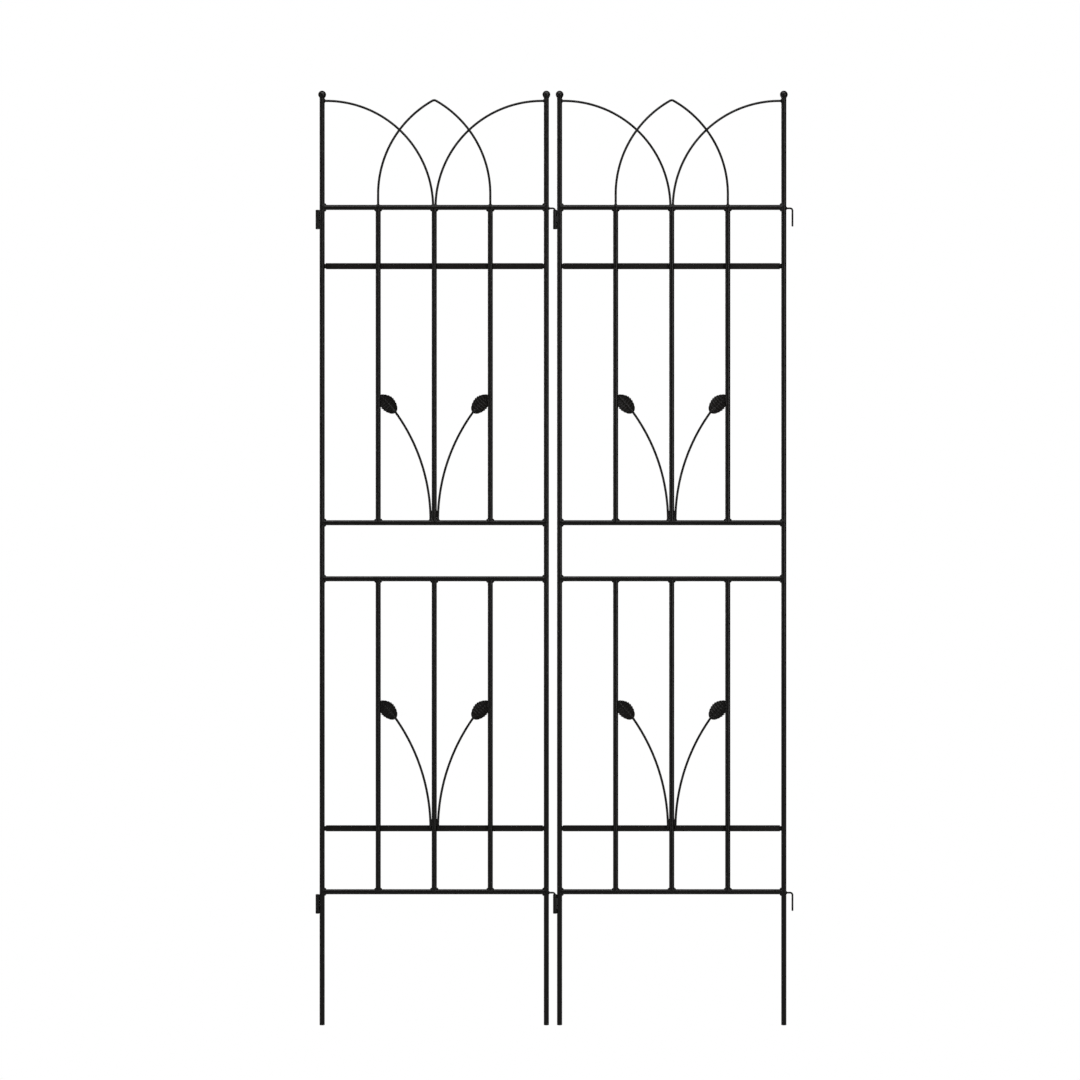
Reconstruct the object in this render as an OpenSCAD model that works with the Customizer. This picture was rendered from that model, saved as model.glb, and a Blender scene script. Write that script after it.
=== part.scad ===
// Two flat garden trellis panels in welded steel tube, side by side.
// Two hooks on the left panel hang in two sleeves on the right panel, so the pair folds like a screen.
// Millimetres, +Z up. X runs along the panels, Y from front to back, ground level is Z = 0.

/* [Panel] */
// Distance between the centre lines of a panel's two posts
post_pitch = 480; // [380:4:600]
// Clear leg below the bottom rail, up to the rail's centre line
leg_h = 285; // [120:5:400]
// Height of the lower lattice, between rail centre lines
lower_h = 670; // [480:5:900]
// Height of the open band between the two lattices
band_h = 120; // [60:5:240]
// Height of the upper lattice, between rail centre lines
upper_h = 675; // [480:5:900]
// Lower flat bar above the bottom rail
lower_bar_rise = 135; // [60:5:200]
// Upper flat bar below the top rail
upper_bar_drop = 125; // [60:5:200]

/* [Tube and bar] */
// Outside diameter of the posts
post_d = 11; // [8:0.5:16]
// Outside diameter of the round rails
rail_d = 11; // [8:0.5:16]
// Outside diameter of the uprights
upright_d = 11; // [8:0.5:14]
// Wall of the tubes
tube_wall = 0.8; // [0.6:0.1:1.5]
// Height of the flat bars
bar_h = 13; // [8:1:20]
// Thickness of the flat bars
bar_t = 3; // [2:0.5:5]
// Space left for the weld between a flat bar's end and the post's side
bar_end_gap = 2; // [0.5:0.5:3]

/* [Crown] */
// Wire of the arcs, the arch and the leaf stems
wire_d = 5; // [3:0.5:6]
// Straight start of a side arc, from the post's centre line
arc_stub = 9; // [7:1:20]
// Post left above a side arc's centre line
post_over_arc = 6.5; // [4:0.5:20]
// Radius of each half of the pointed arch
arch_r = 230; // [180:5:300]
// Straight leg of the arch, above the top rail's centre line
arch_leg_h = 28; // [10:2:60]
// Radius of the bend at the point of the arch
arch_tip_r = 8; // [5:1:20]
// Diameter of the ball finials
ball_d = 17; // [14:1:30]
// Depth of a ball's spigot in the post
spigot_h = 14; // [8:1:25]
// Clearance round the spigot in the post's bore
spigot_fit = 0.1; // [0.05:0.05:0.3]

/* [Leaves] */
// Length of a leaf
leaf_l = 50; // [36:2:60]
// Width of a leaf
leaf_w = 35; // [18:1:42]
// Thickness of a leaf's blade
leaf_t = 2; // [1:0.5:3]
// Diameter of a leaf's midrib
midrib_d = 3; // [2:0.5:4.5]
// Slope of a leaf above the horizontal, in degrees
leaf_slope = 48; // [30:1:60]
// Height of a leaf's foot above the bar or rail that its stem starts on
leaf_rise = 236; // [160:2:300]
// How far a leaf's tip is trimmed to lie along the outer upright
leaf_trim = 1.5; // [0.5:0.5:3]
// Teeth along each edge of a leaf
leaf_teeth = 8; // [5:1:11]
// Depth of a tooth
tooth_depth = 1.6; // [0.8:0.2:2.4]

/* [Hooks and sleeves] */
// Wire of the hooks
hook_d = 4; // [2.5:0.5:5]
// Centre line of the hooks' arms below the centre line of their rail
hook_arm_drop = 2; // [0:0.5:4]
// Hook leg's centre line out from the post's centre line
hook_reach = 18.5; // [17:0.5:30]
// Drop of the hook's tip below the centre line of its arm
hook_drop = 39; // [25:1:60]
// Radius of the hook's bend, on the wire's centre line
hook_bend_r = 5; // [3:0.5:8]
// Clearance round a hook leg in a sleeve
hook_fit = 0.75; // [0.3:0.05:2]
// Wall of the sleeves
sleeve_wall = 1.5; // [1:0.25:2.5]
// Height of the sleeves
sleeve_h = 41; // [20:1:60]
// Top of a sleeve below the centre line of its hook's arm
sleeve_drop = 3.5; // [3.5:0.5:12]

/* [Joints] */
// Gap at a welded joint, between the faces that meet
joint_gap = 0.05; // [0.02:0.01:0.1]
// Leg of the weld collars
weld_leg = 3; // [1:0.5:4]
// Width of a weld collar beyond the side of its tube
weld_side = 1; // [0.5:0.5:2]
// Height of the beads between a sleeve and its post
sleeve_bead_h = 5; // [3:1:10]
// Radius of the beads between a sleeve and its post
sleeve_bead_r = 2.8; // [2:0.2:4]

/* [Hidden] */
SIDES = ["left", "right"];
PIECES = [
    "sleeve_post", "hook_post", "sleeve_post_ball", "hook_post_ball",
    "top_rail", "upper_flat_bar", "upper_middle_rail",
    "lower_middle_rail", "lower_flat_bar", "bottom_rail",
    "upper_upright_1", "upper_upright_2", "upper_upright_3",
    "lower_upright_1", "lower_upright_2", "lower_upright_3",
    "side_arc_1", "side_arc_2", "centre_arch",
    "upper_stem_1", "upper_stem_2", "lower_stem_1", "lower_stem_2",
    "upper_leaf_1", "upper_leaf_2", "lower_leaf_1", "lower_leaf_2",
    "hooks", "sleeves", "welds"
];

steel_black = "#1d1b19";
bar_black = "#2a2825";
weld_black = "#171513";
round_fn = 64;
arc_fn = 180;

// Heights of the centre lines above the ground
bottom_rail_z = leg_h;
lower_bar_z = bottom_rail_z + lower_bar_rise;
lower_middle_z = bottom_rail_z + lower_h;
upper_middle_z = lower_middle_z + band_h;
top_rail_z = upper_middle_z + upper_h;
upper_bar_z = top_rail_z - upper_bar_drop;

// Widths across one panel, whose own centre line is X = 0
post_x = post_pitch / 2;
upright_pitch = post_pitch / 4;
upright_r = upright_d / 2;
post_r = post_d / 2;
rail_r = rail_d / 2;
wire_r = wire_d / 2;
bar_y = upright_r + joint_gap;

// Crown: the side arcs spring from the posts and stand together on the top rail
side_arc_r = post_x - arc_stub - wire_r - joint_gap;
arc_top_z = top_rail_z + side_arc_r;
post_top_z = arc_top_z + post_over_arc;
ball_r = ball_d / 2;
ball_seat = ball_r - sqrt(pow(ball_r, 2) - pow(post_r, 2));
ball_z = post_top_z - ball_seat + ball_r;
wire_y = wire_r + joint_gap / 2;

// Pointed arch: two arcs that meet a small bend at the top
arch_centre_x = arch_r - upright_pitch;
arch_spring_z = top_rail_z + arch_leg_h;
tip_rise = sqrt(pow(arch_r - arch_tip_r, 2) - pow(arch_centre_x, 2));
tip_angle = atan2(tip_rise, -arch_centre_x);
tip_lap = 3;
tip_swell = 0.2;

// Leaves and stems, measured from the upright or rail that the stem starts on
leaf_tip_x = upright_pitch - upright_r + leaf_trim;
leaf_foot_x = leaf_tip_x - leaf_l * cos(leaf_slope);
leaf_blunt = 0.42;
leaf_taper = 0.4;
leaf_edge_least = 0.8;
tooth_start = 0.3;
tooth_peak = 0.78;
midrib_share = 0.8;
stem_foot_x = upright_r + wire_r + joint_gap;
stem_run = leaf_foot_x - stem_foot_x;
stem_lean = 2 * atan2(stem_run, leaf_rise);
leaf_foot_gap = 2 * joint_gap + wire_r * abs(sin(90 - stem_lean - leaf_slope));
upper_stem_z = upper_middle_z + rail_r + joint_gap;
upper_stem_rise = leaf_rise - rail_r - joint_gap;

// Hooks and sleeves, and where the two panels stand
sleeve_bore = hook_d + 2 * hook_fit;
sleeve_d = sleeve_bore + 2 * sleeve_wall;
sleeve_reach = post_r + sleeve_d / 2 + joint_gap;
hook_levels = [top_rail_z - hook_arm_drop, bottom_rail_z - hook_arm_drop];
panel_step = post_pitch + hook_reach + sleeve_reach;
left_end = sleeve_reach + sleeve_d / 2;
right_end = hook_reach + hook_d / 2;
pair_w = left_end + post_pitch + panel_step + right_end;
left_panel_x = left_end + post_x - pair_w / 2;
panel_x = [left_panel_x, left_panel_x + panel_step];

// Welds: the thin edge of a collar, the space round a stem's foot, and where beads sit on a sleeve
weld_lip = 0.2;
stem_foot_space = 2 * joint_gap;
bead_shares = [0.1, 0.9];

// Round tube standing on Z = 0
module tube(d, h) {
    difference() {
        cylinder(d = d, h = h, $fn = round_fn);
        translate([0, 0, -1])
            cylinder(d = d - 2 * tube_wall, h = h + 2, $fn = round_fn);
    }
}

// Rod along X, centred, at height z
module rod_x(d, l, z) {
    translate([-l / 2, 0, z])
        rotate([0, 90, 0])
            cylinder(d = d, h = l, $fn = round_fn);
}

// Space taken by both posts, with the joint gap round them
module posts_space() {
    for (s = [-1, 1])
        translate([s * post_x, 0, 0])
            cylinder(d = post_d + 2 * joint_gap, h = post_top_z, $fn = round_fn);
}

// Space taken by a round rail, with the joint gap round it
module rail_space(z) {
    rod_x(rail_d + 2 * joint_gap, post_pitch, z);
}

// Bent wire in the XZ plane: an arc of radius r between two angles, both anticlockwise from +X
module bend(r, start, end, d) {
    rotate([90, 0, 0])
        rotate([0, 0, start])
            rotate_extrude(angle = end - start, $fn = arc_fn)
                translate([r, 0])
                    circle(d = d, $fn = round_fn);
}

// Upright post, open at the foot
module post(s) {
    color(steel_black)
        translate([s * post_x, 0, 0])
            tube(post_d, post_top_z);
}

// Ball that closes a post's top, with a spigot inside the tube
module ball(s) {
    color(steel_black)
        translate([s * post_x, 0, 0]) {
            difference() {
                translate([0, 0, ball_z])
                    sphere(d = ball_d, $fn = round_fn);
                translate([0, 0, post_top_z - ball_d])
                    cylinder(d = 2 * ball_d, h = ball_d + joint_gap, $fn = round_fn);
            }
            translate([0, 0, post_top_z - spigot_h])
                cylinder(
                    d = post_d - 2 * tube_wall - 2 * spigot_fit,
                    h = spigot_h + ball_r,
                    $fn = round_fn
                );
        }
}

// Round rail between the posts, its ends shaped to them
module round_rail(z) {
    color(steel_black)
        difference() {
            rod_x(rail_d, post_pitch, z);
            rod_x(rail_d - 2 * tube_wall, post_pitch + 2, z);
            posts_space();
        }
}

// Flat bar on edge behind the uprights, just short of the posts at both ends
module flat_bar(z) {
    bar_l = post_pitch - post_d - 2 * bar_end_gap;
    color(bar_black)
        translate([-bar_l / 2, bar_y, z - bar_h / 2])
            cube([bar_l, bar_t, bar_h]);
}

// Upright between two rails, its ends shaped to them
module upright(i, low_z, high_z) {
    color(steel_black)
        difference() {
            translate([(i - 2) * upright_pitch, 0, low_z])
                tube(upright_d, high_z - low_z);
            rail_space(low_z);
            rail_space(high_z);
        }
}

// Quarter-round wire from under a post's ball down to the middle of the top rail
module side_arc(s) {
    color(steel_black)
        difference() {
            mirror([s > 0 ? 1 : 0, 0, 0])
                translate([-post_x, wire_y, top_rail_z]) {
                    translate([0, 0, side_arc_r])
                        rotate([0, 90, 0])
                            cylinder(d = wire_d, h = arc_stub, $fn = round_fn);
                    translate([arc_stub, 0, 0])
                        bend(side_arc_r, 0, 90, wire_d);
                }
            posts_space();
            rail_space(top_rail_z);
        }
}

// Pointed arch: one wire with two straight legs, two arcs and a small bend at the point
module centre_arch() {
    color(steel_black)
        difference() {
            translate([0, -wire_y, 0]) {
                for (s = [-1, 1])
                    translate([s * upright_pitch, 0, top_rail_z])
                        cylinder(d = wire_d, h = arch_leg_h, $fn = round_fn);
                translate([arch_centre_x, 0, arch_spring_z])
                    bend(arch_r, 180, tip_angle, wire_d);
                translate([-arch_centre_x, 0, arch_spring_z])
                    bend(arch_r, 0, 180 - tip_angle, wire_d);
                translate([0, 0, arch_spring_z + tip_rise])
                    bend(arch_tip_r, 180 - tip_angle - tip_lap, tip_angle + tip_lap, wire_d + tip_swell);
            }
            rail_space(top_rail_z);
        }
}

// Leaf stem: an arc that starts upright beside the middle upright and leans out to a leaf
module stem(s, foot_z, rise) {
    turn = 2 * atan2(stem_run, rise);
    stem_r = rise / sin(turn);
    color(steel_black)
        mirror([s > 0 ? 0 : 1, 0, 0])
            translate([stem_foot_x + stem_r, 0, foot_z])
                bend(stem_r, 180, 180 - turn, wire_d);
}

// Half width of a leaf at t, from 0 at its foot to 1 at its tip
function leaf_half(t) = leaf_w / 2 * pow(sin(180 * t), leaf_blunt) * (1 - leaf_taper * pow(t, 4));

// Points of one tooth, in teeth from the foot, each with its depth below the outline
function tooth(k) = [[k + tooth_start, tooth_depth / 2], [k + tooth_peak, 0], [k + 1, tooth_depth]];

// One toothed edge of a leaf, foot to tip
function leaf_edge() = [
    for (k = [0 : leaf_teeth - 1])
        for (point = tooth(k))
            let (t = point[0] / leaf_teeth)
                if (t < 1)
                    [t * leaf_l, max(leaf_half(t) - point[1] * sin(180 * t), leaf_edge_least)]
];

// Toothed leaf with a midrib, its tip trimmed to the outer upright
module leaf(s, z) {
    edge = leaf_edge();
    foot = [[leaf_foot_gap, midrib_d / 2]];
    upper = concat(foot, edge);
    count = len(upper);
    lower = [for (k = [1 : count]) [upper[count - k][0], -upper[count - k][1]]];
    color(steel_black)
        mirror([s > 0 ? 0 : 1, 0, 0])
            difference() {
                translate([leaf_foot_x, 0, z + leaf_rise])
                    rotate([0, -leaf_slope, 0]) {
                        rotate([90, 0, 0])
                            translate([0, 0, -leaf_t / 2])
                                linear_extrude(leaf_t)
                                    polygon(concat(upper, [[leaf_l, 0]], lower));
                        translate([leaf_foot_gap, 0, 0])
                            rotate([0, 90, 0])
                                cylinder(d = midrib_d, h = leaf_l * midrib_share, $fn = round_fn);
                    }
                translate([upright_pitch, 0, z])
                    cylinder(d = upright_d + 2 * joint_gap, h = leaf_rise + 2 * leaf_l, $fn = round_fn);
            }
}

// Two wire hooks on the right-hand post, open downwards
module hooks() {
    color(steel_black)
        for (z = hook_levels)
            difference() {
                translate([post_x, 0, z]) {
                    rotate([0, 90, 0])
                        cylinder(d = hook_d, h = hook_reach - hook_bend_r, $fn = round_fn);
                    translate([hook_reach - hook_bend_r, 0, -hook_bend_r])
                        bend(hook_bend_r, 0, 90, hook_d);
                    translate([hook_reach, 0, -hook_drop])
                        cylinder(d = hook_d, h = hook_drop - hook_bend_r, $fn = round_fn);
                }
                posts_space();
            }
}

// Two short sleeves on the left-hand post, which take the next panel's hooks
module sleeves() {
    color(steel_black)
        for (z = hook_levels)
            translate([-post_x - sleeve_reach, 0, z - sleeve_drop - sleeve_h])
                difference() {
                    cylinder(d = sleeve_d, h = sleeve_h, $fn = round_fn);
                    translate([0, 0, -1])
                        cylinder(d = sleeve_bore, h = sleeve_h + 2, $fn = round_fn);
                }
}

// Weld collar round a rod that stands along +Z on a tube lying along X
module collar(rod_d, tube_d) {
    start = tube_d / 4;
    reach = tube_d / 2 + weld_leg - start;
    toe_r = rod_d / 2 + weld_leg;
    lip_r = rod_d / 2 + weld_lip;
    intersection() {
        difference() {
            translate([0, 0, start])
                cylinder(r1 = toe_r, r2 = lip_r, h = reach, $fn = round_fn);
            cylinder(d = rod_d + 2 * joint_gap, h = tube_d, $fn = round_fn);
            rod_x(tube_d + 2 * joint_gap, 3 * tube_d, 0);
        }
        translate([0, 0, tube_d / 2])
            cube([3 * tube_d, tube_d + 2 * weld_side, 2 * tube_d], center = true);
    }
}

// Weld collar on the post at s, round a rod that leaves it along X
module post_collar(s, z, rod_d, out) {
    translate([s * post_x, 0, z])
        rotate([0, 90 * out, 0])
            collar(rod_d, post_d);
}

// Weld collars at the foot and the head of an upright, clear of the upper stems' feet
module upright_collars(i, low_z, high_z) {
    difference() {
        translate([i * upright_pitch, 0, low_z])
            collar(upright_d, rail_d);
        for (s = [-1, 1])
            translate([s * stem_foot_x, 0, upper_middle_z])
                cylinder(r = wire_r + stem_foot_space, h = 2 * rail_d, $fn = round_fn);
    }
    translate([i * upright_pitch, 0, high_z])
        rotate([180, 0, 0])
            collar(upright_d, rail_d);
}

// Bead that bridges the end of a flat bar and the post
module bar_end_bead(s, z) {
    bar_end = post_x - post_r - bar_end_gap;
    mirror([s > 0 ? 0 : 1, 0, 0])
        difference() {
            translate([bar_end + bar_end_gap, bar_y, z])
                sphere(r = bar_end_gap + weld_leg / 2, $fn = round_fn);
            translate([bar_end - bar_h + joint_gap, bar_y - joint_gap, z - bar_h])
                cube([bar_h, bar_t + 2 * joint_gap, 2 * bar_h]);
            posts_space();
        }
}

// Bead in the groove between a sleeve and its post, front and back
module sleeve_bead(z) {
    difference() {
        translate([-post_x - post_r - joint_gap, 0, z - sleeve_bead_h / 2])
            cylinder(r = sleeve_bead_r, h = sleeve_bead_h, $fn = round_fn);
        translate([-post_x - sleeve_reach, 0, z - sleeve_bead_h])
            cylinder(d = sleeve_d + 2 * joint_gap, h = 2 * sleeve_bead_h, $fn = round_fn);
        posts_space();
    }
}

// Weld collars and beads of one panel
module welds() {
    color(weld_black) {
        for (s = [-1, 1], z = [bottom_rail_z, lower_middle_z, upper_middle_z, top_rail_z])
            post_collar(s, z, rail_d, -s);
        for (z = hook_levels)
            post_collar(1, z, hook_d, 1);
        for (i = [-1 : 1]) {
            upright_collars(i, bottom_rail_z, lower_middle_z);
            upright_collars(i, upper_middle_z, top_rail_z);
        }
        for (s = [-1, 1], z = [lower_bar_z, upper_bar_z])
            bar_end_bead(s, z);
        for (z = hook_levels, share = bead_shares)
            sleeve_bead(z - sleeve_drop - sleeve_h * share);
    }
}

for (p = [0, 1])
    translate([panel_x[p], 0, 0]) {
        side = SIDES[p];
        post(-1);
        post(1);
        ball(-1);
        ball(1);
        round_rail(top_rail_z);
        flat_bar(upper_bar_z);
        round_rail(upper_middle_z);
        round_rail(lower_middle_z);
        flat_bar(lower_bar_z);
        round_rail(bottom_rail_z);
        for (i = [1 : 3]) {
            upright(i, upper_middle_z, top_rail_z);
            upright(i, bottom_rail_z, lower_middle_z);
        }
        for (i = [1, 2]) {
            s = 2 * i - 3;
            side_arc(s);
            stem(s, upper_stem_z, upper_stem_rise);
            stem(s, lower_bar_z, leaf_rise);
            leaf(s, upper_middle_z);
            leaf(s, lower_bar_z);
        }
        centre_arch();
        hooks();
        sleeves();
        welds();
    }
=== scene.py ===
import math
import random

import bmesh
import bpy
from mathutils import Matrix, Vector


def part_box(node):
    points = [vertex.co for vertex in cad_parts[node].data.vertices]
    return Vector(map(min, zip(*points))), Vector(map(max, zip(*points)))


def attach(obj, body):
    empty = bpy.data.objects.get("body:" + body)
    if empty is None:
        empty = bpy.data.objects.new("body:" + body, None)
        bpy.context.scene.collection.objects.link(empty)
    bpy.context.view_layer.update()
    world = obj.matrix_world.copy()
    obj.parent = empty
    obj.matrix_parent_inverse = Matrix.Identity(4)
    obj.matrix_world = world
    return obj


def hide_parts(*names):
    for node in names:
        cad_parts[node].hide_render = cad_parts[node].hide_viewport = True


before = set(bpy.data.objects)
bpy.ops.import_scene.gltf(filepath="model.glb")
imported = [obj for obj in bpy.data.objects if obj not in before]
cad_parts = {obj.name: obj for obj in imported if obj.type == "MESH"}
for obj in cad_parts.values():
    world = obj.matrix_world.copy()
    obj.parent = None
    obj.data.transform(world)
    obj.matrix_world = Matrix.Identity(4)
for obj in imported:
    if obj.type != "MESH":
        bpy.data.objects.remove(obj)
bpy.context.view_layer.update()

# ---------------------------------------------------------------------------------------------
# Posts. Each panel has two, cut from thin-walled steel tube, their feet deburred and left open
# so that they push into soil. Everything is powder coated black after welding, so the coat is
# made here first: a satin film with orange peel, rubs from handling and dust on what faces up.
# ---------------------------------------------------------------------------------------------
SIDES = ("left", "right")
AROUND = 36
post_wall = 0.0008
foot_round = 0.0004
corner_share = 0.3
black_coat = (0.0048, 0.0036, 0.0029)
dusty_coat = (0.0120, 0.0104, 0.0088)
scuffed_coat = (0.0260, 0.0240, 0.0210)
darkest, lightest = 0.88, 1.14
dust_cover = 0.55
cloud_dulls, dust_dulls, peel_dulls, rubs_shine = 0.08, 0.25, 0.05, 0.06
fine_peel_share = 0.35
peel_height = 0.00030
film_index = 1.42


class Coat:
    """A value or colour on its way through a coat's nodes; arithmetic on it adds Math nodes."""

    def __init__(self, tree, socket):
        self.tree, self.socket = tree, socket

    def node(self, kind, settings=None, out=0, **inputs):
        """Adds a node: its settings, then its inputs by name, or by number as n0, n1 and so on."""
        made = self.tree.nodes.new(kind)
        for key, value in (settings or {}).items():
            setattr(made, key, value)
        for key, value in inputs.items():
            numbered = key[0] == "n" and key[1:].isdigit()
            socket = made.inputs[int(key[1:])] if numbered else made.inputs[key.replace("_", " ")]
            if isinstance(value, Coat):
                self.tree.links.new(value.socket, socket)
            else:
                socket.default_value = value
        return Coat(self.tree, made.outputs[out])

    def maths(self, operation, a, b):
        return self.node("ShaderNodeMath", {"operation": operation}, n0=a, n1=b)

    def __add__(self, other):
        return self.maths("ADD", self, other)

    def __sub__(self, other):
        return self.maths("SUBTRACT", self, other)

    def __rsub__(self, other):
        return self.maths("SUBTRACT", other, self)

    def __mul__(self, other):
        return self.maths("MULTIPLY", self, other)

    __radd__ = __add__
    __rmul__ = __mul__

    def fade(self, low, high):
        """0 below low, 1 above high, smooth between."""
        return self.node(
            "ShaderNodeMapRange", {"interpolation_type": "SMOOTHSTEP"},
            Value=self, From_Min=low, From_Max=high,
        )

    def tint(self, low, high):
        """low where this is 0, high where it is 1."""
        low, high = [c if isinstance(c, Coat) else (*c, 1) for c in (low, high)]
        return self.node("ShaderNodeMix", {"data_type": "RGBA"}, out=2, n0=self, n6=low, n7=high)


def powder_coat(name, tone_and_painted_light=1.0, gloss=0.30, peel=1.0, scuff=0.0):
    """Satin black powder coat; peel scales its orange peel and scuff how much handling rubbed it."""
    coat = bpy.data.materials.new(name)
    coat.use_nodes = True
    tree = coat.node_tree
    film = tree.nodes["Principled BSDF"]
    where = Coat(tree, tree.nodes.new("ShaderNodeTexCoord").outputs["Object"])

    def grain(per_metre, detail, rough=0.5):
        return where.node(
            "ShaderNodeTexNoise", {"noise_dimensions": "3D"},
            Vector=where, Scale=per_metre, Detail=detail, Roughness=rough,
        )

    outwards = where.node("ShaderNodeNewGeometry", out=1)
    facing_up = where.node("ShaderNodeSeparateXYZ", out=2, Vector=outwards)
    cloud = grain(per_metre=9.0, detail=4.0)
    peel_fine = grain(per_metre=1300.0, detail=2.0)
    peel_broad = grain(per_metre=420.0, detail=2.0)
    dust_grain = grain(per_metre=60.0, detail=5.0, rough=0.65).fade(0.38, 0.72)
    dust = facing_up.fade(0.1, 1.0) * dust_grain * dust_cover
    rubs = grain(per_metre=130.0, detail=6.0, rough=0.7).fade(0.60, 0.74) * scuff
    # Each coat's colour is scaled by a per-coat factor; on the flat bars that factor lightens it as painted
    # light.
    film_colour = cloud.fade(0.3, 0.7).tint(
        [c * tone_and_painted_light * darkest for c in black_coat], [c * tone_and_painted_light * lightest for c in black_coat])
    dusted = dust.tint(film_colour, [c * tone_and_painted_light for c in dusty_coat])
    worn = rubs.tint(dusted, scuffed_coat)
    dull = gloss + cloud * cloud_dulls + dust * dust_dulls - rubs * rubs_shine + peel_broad * peel_dulls
    height = peel_fine * fine_peel_share + peel_broad * (1 - fine_peel_share)
    bump = where.node("ShaderNodeBump", Strength=1.0, Distance=peel_height * peel, Height=height)
    for socket, value in (("Base Color", worn), ("Roughness", dull), ("Normal", bump)):
        tree.links.new(value.socket, film.inputs[socket])
    film.inputs["Metallic"].default_value = 0.0
    film.inputs["IOR"].default_value = film_index
    return coat


def loft(rings, joined=False):
    """Skin over rings of equal count, its ends capped or, if joined, its last ring on its first."""
    count = len(rings[0])
    faces = []
    for r in range(len(rings) if joined else len(rings) - 1):
        here, there = r * count, (r + 1) % len(rings) * count
        for k in range(count):
            n = (k + 1) % count
            faces.append((here + k, here + n, there + n, there + k))
    if not joined:
        faces.append(tuple(range(count)))
        faces.append(tuple((len(rings) - 1) * count + k for k in range(count)))
    return [p for ring in rings for p in ring], faces


def fit(name, shapes, side, slot, coat, *nodes, crease=38):
    """Makes one piece of one or more skins, coats it and fixes it to its panel."""
    points, faces = [], []
    for more_points, more_faces in shapes:
        start = len(points)
        points += more_points
        faces += [tuple(start + k for k in face) for face in more_faces]
    mesh = bpy.data.meshes.new(name)
    mesh.from_pydata(points, [], faces)
    work = bmesh.new()
    work.from_mesh(mesh)
    bmesh.ops.recalc_face_normals(work, faces=work.faces)
    work.to_mesh(mesh)
    work.free()
    mesh.shade_smooth()
    mesh.set_sharp_from_angle(angle=math.radians(crease))
    mesh.materials.append(coat)
    piece = bpy.data.objects.new(name, mesh)
    bpy.context.scene.collection.objects.link(piece)
    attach(piece, f"{side}_panel")
    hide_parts(*nodes)


def turned(profile, x, joined=False):
    """Rings about the upright line at x, one for each (radius, height) of the profile."""
    turns = [2 * math.pi * k / AROUND for k in range(AROUND)]
    return loft(
        [[Vector((x + r * math.cos(t), r * math.sin(t), z)) for t in turns] for r, z in profile],
        joined,
    )


tube_coat = powder_coat("coated_tube", scuff=0.5)
post_x, post_top, post_r = {}, {}, {}
for side in SIDES:
    for end in ("sleeve", "hook"):
        low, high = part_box(f"{side}_{end}_post")
        post_x[side, end] = (low.x + high.x) / 2
        post_r[side, end] = outer = (high.x - low.x) / 2
        post_top[side, end] = top = high.z
        bore = outer - post_wall
        corner = foot_round * corner_share
        profile = [
            (bore + foot_round / 2, 0), (outer - foot_round, 0), (outer - corner, corner),
            (outer, foot_round), (outer, top / 2), (outer, top - foot_round), (outer - foot_round, top),
            (bore, top), (bore, foot_round),
        ]
        fit(
            f"{side}_{end}_post_tube", [turned(profile, post_x[side, end], joined=True)],
            side, "coated_tube", tube_coat, f"{side}_{end}_post",
        )

# ---------------------------------------------------------------------------------------------
# Ball finials. Two pressed steel halves closed on a spigot that is driven into the post, with a
# faint seam round the middle and a small collar where the ball sits down on the tube.
# ---------------------------------------------------------------------------------------------
seam_half, seam_high = 0.00045, 0.00008
collar_out, collar_high = 0.0009, 0.0011
collar_shares = ((0.0, 0.0), (0.8, 0.25), (1.0, 0.6))
spigot_gap = 0.0001
ball_steps = 40
ball_coat = powder_coat("coated_ball", gloss=0.27, scuff=0.3)
for side in SIDES:
    for end in ("sleeve", "hook"):
        low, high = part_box(f"{side}_{end}_post_ball")
        ball_r = (high.y - low.y) / 2 - seam_high
        middle = high.z - (high.y - low.y) / 2
        seat, outer = post_top[side, end], post_r[side, end]
        lowest = math.asin((seat + collar_high - middle) / ball_r)
        spigot = outer - post_wall - spigot_gap
        profile = [(spigot, low.z), (spigot, seat)]
        profile += [(outer + collar_out * out, seat + collar_high * up) for out, up in collar_shares]
        profile.append((ball_r * math.cos(lowest), seat + collar_high))
        for k in range(1, ball_steps):
            lift = lowest + (math.pi / 2 - lowest) * k / ball_steps
            rise = ball_r * math.sin(lift)
            proud = seam_high * max(0.0, 1 - (rise / seam_half) ** 2)
            profile.append((ball_r * math.cos(lift) + proud, middle + rise))
        fit(
            f"{side}_{end}_post_finial", [turned(profile, post_x[side, end])],
            side, "coated_ball", ball_coat, f"{side}_{end}_post_ball",
        )

# ---------------------------------------------------------------------------------------------
# Round rails. Four lengths of the same tube cross each panel, their ends nipped to a saddle so
# that they close on the posts before they are welded.
# ---------------------------------------------------------------------------------------------
RAILS = ("top_rail", "upper_middle_rail", "lower_middle_rail", "bottom_rail")
straight_from_end = 0.004


def saddled_tube(along, start, end, line, outer, crossing):
    """Tube along x or z between two crossing tubes, whose centre lines are at start and end."""
    turns = [2 * math.pi * k / AROUND for k in range(AROUND)]
    shoulder = crossing + straight_from_end
    bore = outer - post_wall

    def ring(radius, place, saddle=0):
        points = []
        for t in turns:
            depth, across = radius * math.sin(t), radius * math.cos(t)
            far = place + saddle * math.sqrt(max(crossing ** 2 - depth ** 2, 0))
            if along == "x":
                points.append(Vector((far, depth, line + across)))
            else:
                points.append(Vector((line + across, depth, far)))
        return points

    return loft([
        ring(outer, start, 1), ring(outer, start + shoulder), ring(outer, end - shoulder),
        ring(outer, end, -1), ring(bore, end, -1), ring(bore, end - shoulder),
        ring(bore, start + shoulder), ring(bore, start, 1),
    ], joined=True)


rail_z, rail_r = {}, {}
for side in SIDES:
    for rail in RAILS:
        low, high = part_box(f"{side}_{rail}")
        rail_z[side, rail] = (low.z + high.z) / 2
        rail_r[side, rail] = (high.z - low.z) / 2
        fit(
            f"{side}_{rail}_tube",
            [saddled_tube(
                "x", post_x[side, "sleeve"], post_x[side, "hook"],
                rail_z[side, rail], rail_r[side, rail], post_r[side, "hook"])],
            side, "coated_tube", tube_coat, f"{side}_{rail}",
        )

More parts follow.
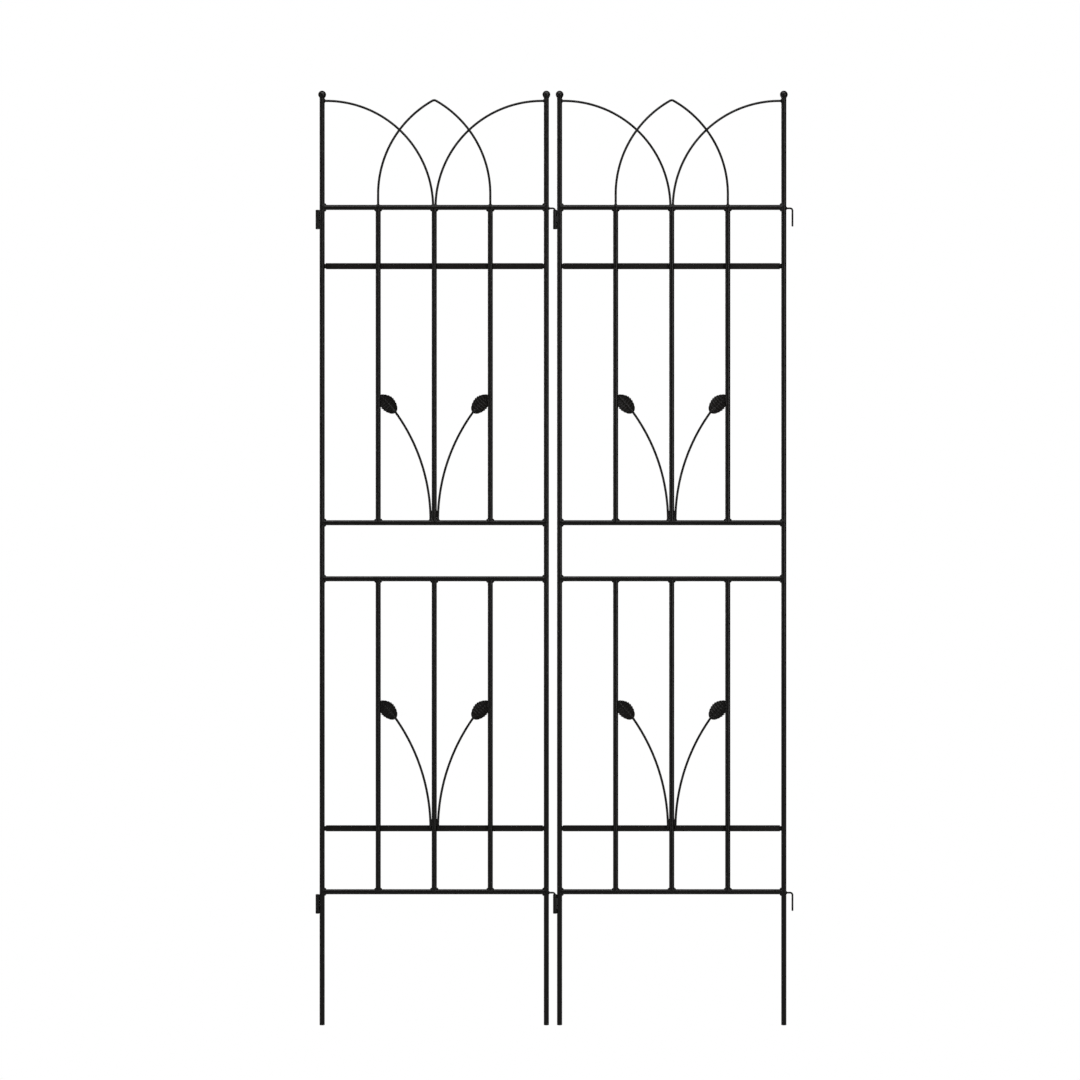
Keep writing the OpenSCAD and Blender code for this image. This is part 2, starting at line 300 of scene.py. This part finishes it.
# ---------------------------------------------------------------------------------------------
# Uprights. Three in each lattice of each panel, lengths of the same steel tube again, saddled
# between two rails and welded to both.
# ---------------------------------------------------------------------------------------------
LATTICES = {"upper": ("upper_middle_rail", "top_rail"), "lower": ("bottom_rail", "lower_middle_rail")}
upright_x = {}
for side in SIDES:
    for lattice, (under, over) in LATTICES.items():
        for i in (1, 2, 3):
            low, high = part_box(f"{side}_{lattice}_upright_{i}")
            upright_x[side, i] = (low.x + high.x) / 2
            upright_r = (high.x - low.x) / 2
            fit(
                f"{side}_{lattice}_upright_{i}_tube",
                [saddled_tube(
                    "z", rail_z[side, under], rail_z[side, over],
                    upright_x[side, i], upright_r, rail_r[side, under])],
                side, "coated_tube", tube_coat, f"{side}_{lattice}_upright_{i}",
            )

# ---------------------------------------------------------------------------------------------
# Flat bars. Two lengths of flat mild steel on edge, laid across the backs of the uprights; the
# rolled stock has soft edges and a sheared end. Their coat is painted lighter than the tube's:
# painted light, for flat faces that catch more light than the round tube.
# ---------------------------------------------------------------------------------------------
bar_round = 0.0006
bar_end_round = bar_round * 0.6
bar_steps = 4
# The flat bars' coat is painted 1.5 times lighter than the tube's, as painted light for their flat faces.
painted_light_bar_coat = powder_coat("coated_bar", tone_and_painted_light=1.5, gloss=0.36, scuff=0.4)


def soft_edged_bar(low, high):
    """Flat bar along x with rounded edges."""
    outline = []
    for y, z, first in (
        (high.y - bar_round, high.z - bar_round, 0), (low.y + bar_round, high.z - bar_round, 90),
        (low.y + bar_round, low.z + bar_round, 180), (high.y - bar_round, low.z + bar_round, 270),
    ):
        for k in range(bar_steps + 1):
            turn = math.radians(first + 90 * k / bar_steps)
            outline.append((y + bar_round * math.cos(turn), z + bar_round * math.sin(turn)))
    middle = (low + high) / 2
    rings = []
    for x, shrink in (
        (low.x, bar_end_round), (low.x + bar_end_round, 0), (middle.x, 0),
        (high.x - bar_end_round, 0), (high.x, bar_end_round),
    ):
        in_y = 1 - shrink / (high.y - low.y) * 2
        in_z = 1 - shrink / (high.z - low.z) * 2
        rings.append([
            Vector((x, middle.y + (y - middle.y) * in_y, middle.z + (z - middle.z) * in_z))
            for y, z in outline])
    return loft(rings)


bar_box = {}
for side in SIDES:
    for bar in ("upper_flat_bar", "lower_flat_bar"):
        bar_box[side, bar] = low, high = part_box(f"{side}_{bar}")
        fit(
            f"{side}_{bar}_strip", [soft_edged_bar(low, high)],
            side, "coated_bar", painted_light_bar_coat, f"{side}_{bar}",
        )

# ---------------------------------------------------------------------------------------------
# Crown wires. Round wire bent cold on a former: two quarter rounds from the posts that stand
# side by side on the middle of the top rail, and a pointed arch of one wire in front of them.
# ---------------------------------------------------------------------------------------------
WIRE_AROUND = 20
bend_step = math.radians(1.5)
nose_steps = 6
bite = 0.0004
arch_radius = 0.230
arch_leg = 0.028
arch_tip_radius = 0.008
arch_tip_steps = 12
wire_coat = powder_coat("coated_wire", gloss=0.30, peel=0.8, scuff=0.3)


def arc_points(centre_x, centre_z, radius, start, end, y):
    """Points of an arc in the panel's plane, angles in radians from +x towards +z."""
    steps = max(2, math.ceil(abs(end - start) / bend_step))
    turns = [start + (end - start) * k / steps for k in range(steps + 1)]
    return [Vector((centre_x + radius * math.cos(t), y, centre_z + radius * math.sin(t))) for t in turns]


def wire(points, radius, nose=0.0):
    """Round wire along points in the panel's plane; nose rounds its last end by that radius."""
    path = [p for k, p in enumerate(points) if k == 0 or (p - points[k - 1]).length > 1e-6]
    turns = [2 * math.pi * k / WIRE_AROUND for k in range(WIRE_AROUND)]
    rings = []
    for k, point in enumerate(path):
        ahead = (path[min(k + 1, len(path) - 1)] - path[max(k - 1, 0)]).normalized()
        across = Vector((-ahead.z, 0, ahead.x))
        rings.append((point, across, radius))
    for k in range(1, nose_steps if nose else 0):
        lean = math.pi / 2 * k / nose_steps
        rings.append((
            point + ahead * nose * math.sin(lean), across, radius - nose * (1 - math.cos(lean))))
    return loft([
        [p + side_way * (r * math.cos(t)) + Vector((0, r * math.sin(t), 0)) for t in turns]
        for p, side_way, r in rings
    ])


wire_r, arc_foot, arc_radius = {}, {}, {}
for side in SIDES:
    top_z, top_r = rail_z[side, "top_rail"], rail_r[side, "top_rail"]
    for i, end, out in ((1, "sleeve", -1), (2, "hook", 1)):
        low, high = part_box(f"{side}_side_arc_{i}")
        y = (low.y + high.y) / 2
        wire_r[side] = r = (high.y - low.y) / 2
        arc_radius[side] = radius = high.z - r - top_z
        foot_x = high.x - r if out < 0 else low.x + r
        centre_x = foot_x + out * radius
        arc_foot[side, i] = Vector((foot_x, y, top_z + math.sqrt(top_r ** 2 - y ** 2)))
        post_side = post_x[side, end] - out * (math.sqrt(post_r[side, end] ** 2 - y ** 2) - bite)
        landing = math.asin((arc_foot[side, i].z - top_z - bite) / radius)
        path = [Vector((post_side, y, top_z + radius))]
        for p in arc_points(0, 0, radius, math.pi / 2, landing, y):
            path.append(Vector((centre_x - out * p.x, y, top_z + p.z)))
        fit(
            f"{side}_side_arc_{i}_wire", [wire(path, r)],
            side, "coated_wire", wire_coat, f"{side}_side_arc_{i}",
        )

arch_foot, arch_middle = {}, {}
for side in SIDES:
    low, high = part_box(f"{side}_centre_arch")
    middle = (low.x + high.x) / 2
    r = wire_r[side]
    y = (low.y + high.y) / 2
    half_span = (high.x - low.x) / 2 - r
    top_z = rail_z[side, "top_rail"]
    foot_z = top_z + math.sqrt(rail_r[side, "top_rail"] ** 2 - y ** 2)
    spring_z = top_z + arch_leg
    offset = arch_radius - half_span
    tip_rise = math.sqrt((arch_radius - arch_tip_radius) ** 2 - offset ** 2)
    tip_turn = math.atan2(tip_rise, -offset)
    tip_z = spring_z + tip_rise
    path = [Vector((middle - half_span, y, foot_z - bite))]
    path += arc_points(middle + offset, spring_z, arch_radius, math.pi, tip_turn, y)
    for k in range(1, arch_tip_steps):
        t = tip_turn + (math.pi - 2 * tip_turn) * k / arch_tip_steps
        path.append(Vector((
            middle + arch_tip_radius * math.cos(t), y, tip_z + arch_tip_radius * math.sin(t))))
    path += arc_points(middle - offset, spring_z, arch_radius, math.pi - tip_turn, 0, y)
    path.append(Vector((middle + half_span, y, foot_z - bite)))
    arch_middle[side] = middle
    arch_foot[side] = [Vector((middle + s * half_span, y, foot_z)) for s in (-1, 1)]
    fit(f"{side}_centre_arch_wire", [wire(path, r)], side, "coated_wire", wire_coat, f"{side}_centre_arch")

# ---------------------------------------------------------------------------------------------
# Leaf stems. Short lengths of the same wire that start upright against the middle upright, on
# the rail in the upper lattice and at the flat bar in the lower one, and lean out to a leaf.
# ---------------------------------------------------------------------------------------------
leaf_slope = math.radians(48)
leaf_long = 0.050
leaf_trim = 0.0015
leaf_rise = 0.236
stem_into_leaf = 0.004
stem_nose_share = 0.7
sprigs = []
for side in SIDES:
    for lattice in ("upper", "lower"):
        for i, out in ((1, -1), (2, 1)):
            r = wire_r[side]
            if lattice == "upper":
                level = rail_z[side, "upper_middle_rail"]
                foot_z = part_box(f"{side}_{lattice}_stem_{i}")[0].z
            else:
                bar_low, bar_high = bar_box[side, "lower_flat_bar"]
                level = foot_z = (bar_low.z + bar_high.z) / 2
            leafwards = Vector((out * math.cos(leaf_slope), 0, math.sin(leaf_slope)))
            tip_x = upright_x[side, 2 + out] - out * (upright_r - leaf_trim)
            tip = Vector((tip_x, 0, level + leaf_rise + leaf_long * math.sin(leaf_slope)))
            leaf_foot = tip - leafwards * leaf_long
            start_x = upright_x[side, 2] + out * (upright_r + r)
            run, rise = abs(leaf_foot.x - start_x), leaf_foot.z - foot_z
            turn = 2 * math.atan2(run, rise)
            radius = rise / math.sin(turn)
            path = [
                Vector((start_x + out * (radius + p.x), 0, foot_z + p.z))
                for p in arc_points(0, 0, radius, math.pi, math.pi - turn, 0)]
            last = (path[-1] - path[-2]).normalized()
            path.append(path[-1] + (last + leafwards).normalized() * stem_into_leaf / 2)
            path.append(path[-1] + leafwards * stem_into_leaf / 2)
            fit(
                f"{side}_{lattice}_stem_{i}_wire", [wire(path, r, nose=r * stem_nose_share)],
                side, "coated_wire", wire_coat, f"{side}_{lattice}_stem_{i}",
            )
            sprigs.append((side, lattice, i, out, leaf_foot, tip, Vector((start_x, 0, foot_z))))

# ---------------------------------------------------------------------------------------------
# Leaves. Cast thin with a raised midrib, side veins that run out to the teeth and a slightly
# cupped blade; the foot is welded on the stem and the tip is tacked to the outer upright.
# ---------------------------------------------------------------------------------------------
leaf_wide = 0.035
leaf_blunt, leaf_taper = 0.42, 0.40
leaf_teeth = 8
tooth_deep = 0.0020
tooth_tip, tooth_sweep = 0.97, 0.8
foot_half, tip_half = 0.0019, 0.0003
lean_forward, lean_bow = 0.0050, 1.4
blade_thick, edge_thins = 0.0013, 0.5
rib_high, rib_wide, rib_fades = 0.0014, 0.0013, 0.75
vein_high, vein_fades = 0.00080, 0.35
vein_place, vein_wide = 0.80, 0.16
cup_deep, cup_level = 0.0016, 0.45
back_follows = 0.75
warp = 0.0003
TOOTH_STEPS = (0.0, 0.10, 0.24, 0.40, 0.56, 0.70, 0.82, 0.91, 0.97)
ACROSS = 14
leaf_coat = powder_coat("coated_leaf", tone_and_painted_light=1.1, gloss=0.30, peel=1.2, scuff=0.35)


def leaf_blade(foot, out, wobble, upright):
    """Toothed leaf from its foot, leaning to the side out, its tip flush on the outer upright."""

    def beside(place):
        most = out * upright - math.sqrt(max(upright_r ** 2 - place.y ** 2, 0))
        return Vector((out * min(out * place.x, most), place.y, place.z))

    ahead = Vector((out * math.cos(leaf_slope), 0, math.sin(leaf_slope)))
    sideways = Vector((-out * math.sin(leaf_slope), 0, math.cos(leaf_slope)))
    rings = []
    for tooth in range(leaf_teeth):
        for step in TOOTH_STEPS:
            u = (tooth + step) / leaf_teeth
            fullness = math.sin(math.pi * u)
            swell = fullness ** leaf_blunt * (1 - leaf_taper * u ** 4)
            notch = tooth_deep * fullness * (1 - min(step / tooth_tip, 1) ** tooth_sweep)
            least = foot_half + (tip_half - foot_half) * u
            half = max(leaf_wide / 2 * swell - notch, least)
            vein = math.exp(-((step - vein_place) / vein_wide) ** 2) * fullness
            front, back = [], []
            for k in range(-ACROSS, ACROSS + 1):
                v = k / ACROSS
                across = v * half
                along = u * leaf_long + lean_forward * abs(v) ** lean_bow * fullness * (1 - u)
                rib = rib_high * math.exp(-(across / rib_wide) ** 2) * (1 - rib_fades * u)
                ridge = vein_high * vein * (1 - abs(v)) ** vein_fades * min(1, abs(across) / rib_wide)
                cup = cup_deep * (v * v - cup_level) * fullness + wobble * math.sin(3 * u + v)
                lift = rib + ridge + cup
                thick = blade_thick * (1 - edge_thins * v ** 4)
                place = foot + ahead * along + sideways * across
                front.append(beside(place + Vector((0, -lift - thick / 2, 0))))
                back.append(beside(place + Vector((0, -lift * back_follows + thick / 2, 0))))
            rings.append(front + back[::-1])
    return loft(rings)


for count, (side, lattice, i, out, leaf_foot, tip, stem_foot) in enumerate(sprigs):
    wobble = warp * math.sin(2.1 * count)
    fit(
        f"{side}_{lattice}_leaf_{i}_blade", [leaf_blade(leaf_foot, out, wobble, upright_x[side, 2 + out])],
        side, "coated_leaf", leaf_coat, f"{side}_{lattice}_leaf_{i}", crease=50,
    )

# ---------------------------------------------------------------------------------------------
# Hooks and sleeves. The hooks are thin wire bent down at a right angle, their tips ground
# round; the sleeves are short strips rolled round a pin, so each has an open seam at its back.
# ---------------------------------------------------------------------------------------------
hook_bend, hook_drop, arm_down = 0.005, 0.039, 0.002
hook_nose = 0.0014
hook_bend_steps = 14
leg_rings = (0.018, 0.004, hook_nose)
sleeve_high, sleeve_down = 0.041, 0.0055
sleeve_bore = 0.00275
seam_gap, seam_faces = math.radians(9), math.radians(130)
mouth_round = 0.0004
SLEEVE_AROUND = 40
sleeve_coat = powder_coat("coated_sleeve", gloss=0.30, scuff=1.0)


def rolled_sleeve(x, foot, outer):
    """Strip rolled round a pin that stands at x, open along its seam."""
    rings = []
    for k in range(SLEEVE_AROUND + 1):
        turn = seam_faces + seam_gap / 2 + (2 * math.pi - seam_gap) * k / SLEEVE_AROUND
        section = []
        for r, z in (
            (sleeve_bore, mouth_round), (sleeve_bore + mouth_round, 0), (outer - mouth_round, 0),
            (outer, mouth_round), (outer, sleeve_high / 2), (outer, sleeve_high - mouth_round),
            (outer - mouth_round, sleeve_high), (sleeve_bore + mouth_round, sleeve_high),
            (sleeve_bore, sleeve_high - mouth_round), (sleeve_bore, sleeve_high / 2),
        ):
            section.append(Vector((x + r * math.cos(turn), r * math.sin(turn), foot + z)))
        rings.append(section)
    return loft(rings)


hook_r = {}
for side in SIDES:
    low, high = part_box(f"{side}_hooks")
    hook_r[side] = r = (high.y - low.y) / 2
    leg_x = high.x - r
    arm_start = post_x[side, "hook"] + post_r[side, "hook"]
    hooks = []
    for rail in ("top_rail", "bottom_rail"):
        z = rail_z[side, rail] - arm_down
        path = [Vector((arm_start - bite, 0, z)), Vector(((arm_start + leg_x - hook_bend) / 2, 0, z))]
        for k in range(hook_bend_steps + 1):
            t = math.pi / 2 * k / hook_bend_steps
            path.append(Vector((
                leg_x - hook_bend + hook_bend * math.sin(t), 0, z - hook_bend + hook_bend * math.cos(t))))
        path += [Vector((leg_x, 0, z - hook_drop + above_tip)) for above_tip in leg_rings]
        hooks.append(wire(path, r, nose=hook_nose))
    fit(f"{side}_hook_pair", hooks, side, "coated_wire", sleeve_coat, f"{side}_hooks")

    low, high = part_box(f"{side}_sleeves")
    outer = (high.x - low.x) / 2
    sleeves = []
    for rail in ("top_rail", "bottom_rail"):
        foot = rail_z[side, rail] - sleeve_down - sleeve_high
        sleeves.append(rolled_sleeve((low.x + high.x) / 2, foot, outer))
    fit(f"{side}_sleeve_pair", sleeves, side, "coated_tube", sleeve_coat, f"{side}_sleeves", crease=30)

# ---------------------------------------------------------------------------------------------
# Welds. Every joint is gas-shielded fillet weld laid by hand: rippled collars round the tube and
# wire ends, short beads along the flat bars and sleeves, and tacks at the leaves and crossings.
# ---------------------------------------------------------------------------------------------
weld_leg, wire_leg = 0.0030, 0.0016
sunk = 0.0002
flank_share = 0.28
collar_ripple, collar_sway, collar_bulge = 0.08, 0.12, 0.30
bead_ripple, ripple_pitch = 0.09, 0.0022
round_of_tube = 0.97
bead_end_trim = 0.012
COLLAR_STEPS, BEAD_STEPS, BEAD_AROUND = 60, 18, 16
bar_bead_r, bar_bead_inset, bar_bead_proud = 0.0016, 0.0025, 0.0006
bar_bead_across = 0.62
bar_end_bead_r, bar_end_bead_inset, bar_end_bead_over = 0.0023, 0.0035, 0.0012
sleeve_bead_r, sleeve_bead_half, sleeve_bead_off = 0.0013, 0.0025, 0.0024
sleeve_bead_shares = (0.12, 0.88)
crossing_bead_r, crossing_bead_half = 0.0021, 0.0012
stem_bead_r, stem_bead_from, stem_bead_to = 0.0016, 0.007, 0.019
stem_foot_bead_r, stem_foot_bead_lift = 0.0021, 0.0003
leaf_foot_bead_r, leaf_foot_bead_from, leaf_foot_bead_to = 0.0026, 0.001, 0.002
leaf_tip_bead_r, leaf_tip_bead_off = 0.0015, 0.0014
leaf_tip_bead_from, leaf_tip_bead_to, leaf_tip_bead_proud = 0.0125, 0.0005, 0.0003
weld_coat = powder_coat("coated_weld", tone_and_painted_light=0.95, gloss=0.33, peel=3.0, scuff=0.2)
hand = random.Random(7)
X, Y, Z = Vector((1, 0, 0)), Vector((0, 1, 0)), Vector((0, 0, 1))


def collar(centre, away, line, rod, tube, leg, depth=0.0):
    """Rippled fillet round a rod that leaves a tube along away; line runs along the tube."""
    start = hand.uniform(0, 2 * math.pi)
    ripples = hand.randint(9, 12)
    rings = []
    for k in range(COLLAR_STEPS):
        turn = 2 * math.pi * k / COLLAR_STEPS
        uneven = collar_ripple * math.sin(ripples * turn + start) + collar_sway * math.sin(2 * turn + start)
        size = leg * (1 + uneven)
        if rod + leg > tube:
            size *= 1 - (1 - flank_share) * math.sin(turn) ** 2

        def on_tube(radius, lift=0.0):
            behind, beside = radius * math.sin(turn), radius * math.cos(turn)
            from_axis = min(abs(depth + behind), tube * round_of_tube)
            surface = math.sqrt(tube ** 2 - from_axis ** 2)
            return centre + Y * behind + line * beside + away * (surface + lift)

        outer_toe = on_tube(rod + size, -sunk)
        rod_foot = on_tube(rod - sunk)
        upper_toe = on_tube(rod - sunk / 2, size)
        across = outer_toe - upper_toe
        outwards = (outer_toe - rod_foot).normalized() + (upper_toe - rod_foot).normalized()
        outwards.normalize()
        section = [outer_toe]
        for step in (0.2, 0.4, 0.6, 0.8):
            bulge = collar_bulge * size * math.sin(math.pi * step)
            section.append(outer_toe - across * step + outwards * bulge)
        rings.append(section + [upper_toe, rod_foot])
    return loft(rings, joined=True)


def bead(start, end, wide, flat=1.0, press=Y):
    """Rippled bead between two points, a little uneven, flattened along press."""
    length = (end - start).length
    ahead = (end - start).normalized()
    across = ahead.cross(press).normalized()
    upwards = across.cross(ahead).normalized()
    total = length + 2 * wide
    ripples = max(2, total / ripple_pitch)
    phase = hand.uniform(0, 6.28)
    rings = []
    for k in range(BEAD_STEPS + 1):
        t = -1 + 2 * (bead_end_trim + (1 - 2 * bead_end_trim) * k / BEAD_STEPS)
        round_end = math.sqrt(1 - abs(t) ** (2 + length / wide))
        r = wide * round_end * (1 + bead_ripple * math.sin(math.pi * ripples * t + phase))
        centre = (start + end) / 2 + ahead * (t * total / 2)
        rings.append([
            centre + across * (r * math.cos(a)) + upwards * (r * flat * math.sin(a))
            for a in [2 * math.pi * j / BEAD_AROUND for j in range(BEAD_AROUND)]])
    return loft(rings)


def upright_bead(x, y, low_z, high_z, wide, flat=1.0):
    return bead(Vector((x, y, low_z)), Vector((x, y, high_z)), wide, flat)


for side in SIDES:
    welds = []
    r = wire_r[side]
    top_z, top_r = rail_z[side, "top_rail"], rail_r[side, "top_rail"]
    ends = (("sleeve", 1), ("hook", -1))
    for rail in RAILS:
        for end, inward in ends:
            joint = Vector((post_x[side, end], 0, rail_z[side, rail]))
            welds.append(collar(joint, X * inward, Z, rail_r[side, rail], post_r[side, end], weld_leg))
    for under, over in LATTICES.values():
        for i in (1, 2, 3):
            for rail, way in ((under, 1), (over, -1)):
                joint = Vector((upright_x[side, i], 0, rail_z[side, rail]))
                welds.append(collar(joint, Z * way, X, upright_r, rail_r[side, rail], weld_leg))

    # Each flat bar is run down both flanks of every upright, and across both gaps at the posts.
    for bar in ("upper_flat_bar", "lower_flat_bar"):
        low, high = bar_box[side, bar]
        for i in (1, 2, 3):
            for s in (-1, 1):
                x = upright_x[side, i] + s * upright_r * bar_bead_across
                welds.append(upright_bead(
                    x, low.y - bar_bead_proud, low.z + bar_bead_inset, high.z - bar_bead_inset, bar_bead_r))
        for end, inward in ends:
            x = (low.x if inward > 0 else high.x) - inward * bar_end_bead_over
            welds.append(upright_bead(
                x, low.y - sunk / 2, low.z + bar_end_bead_inset, high.z - bar_end_bead_inset, bar_end_bead_r))

    # The crown's wires have a thin collar at every foot, and the hooks one on their post.
    for i, (end, inward) in zip((1, 2), ends):
        x, y = arc_foot[side, i].x, arc_foot[side, i].y
        joint = Vector((post_x[side, end], y, top_z + arc_radius[side]))
        welds.append(collar(joint, X * inward, Z, r, post_r[side, end], wire_leg, y))
        welds.append(collar(Vector((x, y, top_z)), Z, X, r, top_r, wire_leg, y))
    for foot in arch_foot[side]:
        welds.append(collar(Vector((foot.x, foot.y, top_z)), Z, X, r, top_r, wire_leg, foot.y))
    for rail in ("top_rail", "bottom_rail"):
        z = rail_z[side, rail]
        joint = Vector((post_x[side, "hook"], 0, z - arm_down))
        welds.append(collar(joint, X, Z, hook_r[side], post_r[side, "hook"], wire_leg))
        touch = post_x[side, "sleeve"] - post_r[side, "sleeve"]
        for share in sleeve_bead_shares:
            for face in (-1, 1):
                middle_z = z - sleeve_down - sleeve_high * share
                welds.append(upright_bead(
                    touch - sunk, face * sleeve_bead_off,
                    middle_z - sleeve_bead_half, middle_z + sleeve_bead_half, sleeve_bead_r))

    # Each crossing of the crown has a tack between the wires, on both sides of the arch.
    middle = arch_middle[side]
    half_span = abs(arch_foot[side][0].x - middle)
    arch_centre = Vector((middle + arch_radius - half_span, 0, top_z + arch_leg))
    arc_centre = Vector((arc_foot[side, 1].x - arc_radius[side], 0, top_z))
    apart = arch_centre - arc_centre
    along = (apart.length ** 2 + arc_radius[side] ** 2 - arch_radius ** 2) / (2 * apart.length)
    square_on = Vector((-apart.z, 0, apart.x)).normalized()
    crossing = arc_centre + apart.normalized() * along
    crossing += square_on * math.sqrt(arc_radius[side] ** 2 - along ** 2)
    for s in (-1, 1):
        welds.append(upright_bead(
            middle + s * abs(crossing.x - middle), 0,
            crossing.z - crossing_bead_half, crossing.z + crossing_bead_half, crossing_bead_r, flat=0.9))

    # Each sprig is tacked at its stem's foot, between stem and leaf, and at the leaf's tip.
    for panel, lattice, i, out, leaf_foot, tip, stem_foot in sprigs:
        if panel != side:
            continue
        x = upright_x[side, 2] + out * (upright_r - sunk / 2)
        for face in (-1, 1):
            welds.append(upright_bead(
                x, face * stem_bead_r, stem_foot.z + stem_bead_from, stem_foot.z + stem_bead_to, stem_bead_r))
        if lattice == "upper":
            foot = stem_foot + Z * stem_foot_bead_lift
            welds.append(bead(foot - X * stem_bead_r, foot + X * stem_bead_r, stem_foot_bead_r))
        leafwards = Vector((out * math.cos(leaf_slope), 0, math.sin(leaf_slope)))
        welds.append(bead(
            leaf_foot - leafwards * leaf_foot_bead_from, leaf_foot + leafwards * leaf_foot_bead_to,
            leaf_foot_bead_r))
        x = upright_x[side, 2 + out] - out * (upright_r + leaf_tip_bead_proud)
        z = tip.z - leaf_trim
        for face in (-1, 1):
            welds.append(upright_bead(
                x, face * leaf_tip_bead_off, z - leaf_tip_bead_from, z - leaf_tip_bead_to, leaf_tip_bead_r))
    fit(f"{side}_weld_beads", welds, side, "coated_weld", weld_coat, f"{side}_welds", crease=70)

# ---------------------------------------------------------------------------------------------
# The studio. A round white floor in a white surround, which the camera sees as one plain pale
# ground, with long soft lights above, in front and at the left for thin highlights on the tube.
# ---------------------------------------------------------------------------------------------
camera_away, camera_high, camera_side = 5.0, 1.038, -0.031
frame_high, sensor = 2.312, 36.0
floor_radius, floor_steps = 9.0, 64
floor_paint, floor_rough = (0.75, 0.75, 0.74, 1), 0.9
surround_strength = 0.05
white = (1, 1, 1, 1)
lights_aim = Vector((0, 0, 1.0))
LIGHTS = (
    ("light_over", (0.0, -1.0, 3.4), (3.0, 1.2), 34),
    ("light_front", (3.4, -4.8, 1.5), (0.8, 3.2), 64),
    ("light_left", (-3.2, -1.6, 1.4), (0.6, 2.8), 16),
    ("light_behind", (-1.5, 4.5, 2.0), (1.0, 3.0), 40),
)

scene = bpy.context.scene
scene.view_settings.view_transform = "Standard"
turns = [2 * math.pi * k / floor_steps for k in range(floor_steps)]
rim = [(floor_radius * math.cos(t), floor_radius * math.sin(t), 0) for t in turns]
disc = bpy.data.meshes.new("studio_floor")
disc.from_pydata(rim, [], [tuple(range(floor_steps))])
floor = bpy.data.objects.new("studio_floor", disc)
scene.collection.objects.link(floor)
paint = bpy.data.materials.new("studio_paint")
paint.use_nodes = True
matt = paint.node_tree.nodes["Principled BSDF"]
matt.inputs["Base Color"].default_value = floor_paint
matt.inputs["Roughness"].default_value = floor_rough
disc.materials.append(paint)

surround = bpy.data.worlds.new("studio_surround")
surround.use_nodes = True
room = surround.node_tree.nodes["Background"]
room.inputs["Color"].default_value = white
room.inputs["Strength"].default_value = surround_strength
scene.world = surround


def white_to_camera(tree, shader, kind, end):
    """Lets the camera see plain white where everything else sees the shader."""
    glow = tree.nodes.new(kind)
    glow.inputs["Color"].default_value = white
    ray = tree.nodes.new("ShaderNodeLightPath")
    either = tree.nodes.new("ShaderNodeMixShader")
    for start, socket in (
        (ray.outputs["Is Camera Ray"], either.inputs[0]), (shader.outputs[0], either.inputs[1]),
        (glow.outputs[0], either.inputs[2]), (either.outputs[0], tree.nodes[end].inputs["Surface"]),
    ):
        tree.links.new(start, socket)


white_to_camera(paint.node_tree, matt, "ShaderNodeEmission", "Material Output")
white_to_camera(surround.node_tree, room, "ShaderNodeBackground", "World Output")

for name, place, size, power in LIGHTS:
    lamp = bpy.data.lights.new(name, "AREA")
    lamp.shape = "RECTANGLE"
    lamp.size, lamp.size_y = size
    lamp.energy = power
    light = bpy.data.objects.new(name, lamp)
    light.location = place
    light.rotation_euler = (lights_aim - Vector(place)).to_track_quat("-Z", "Y").to_euler()
    scene.collection.objects.link(light)

lens = bpy.data.cameras.new("camera")
lens.sensor_width = sensor
lens.lens = sensor * camera_away / frame_high
camera = bpy.data.objects.new("camera", lens)
camera.location = (camera_side, -camera_away, camera_high)
camera.rotation_euler = (math.pi / 2, 0, 0)
scene.collection.objects.link(camera)
scene.camera = camera
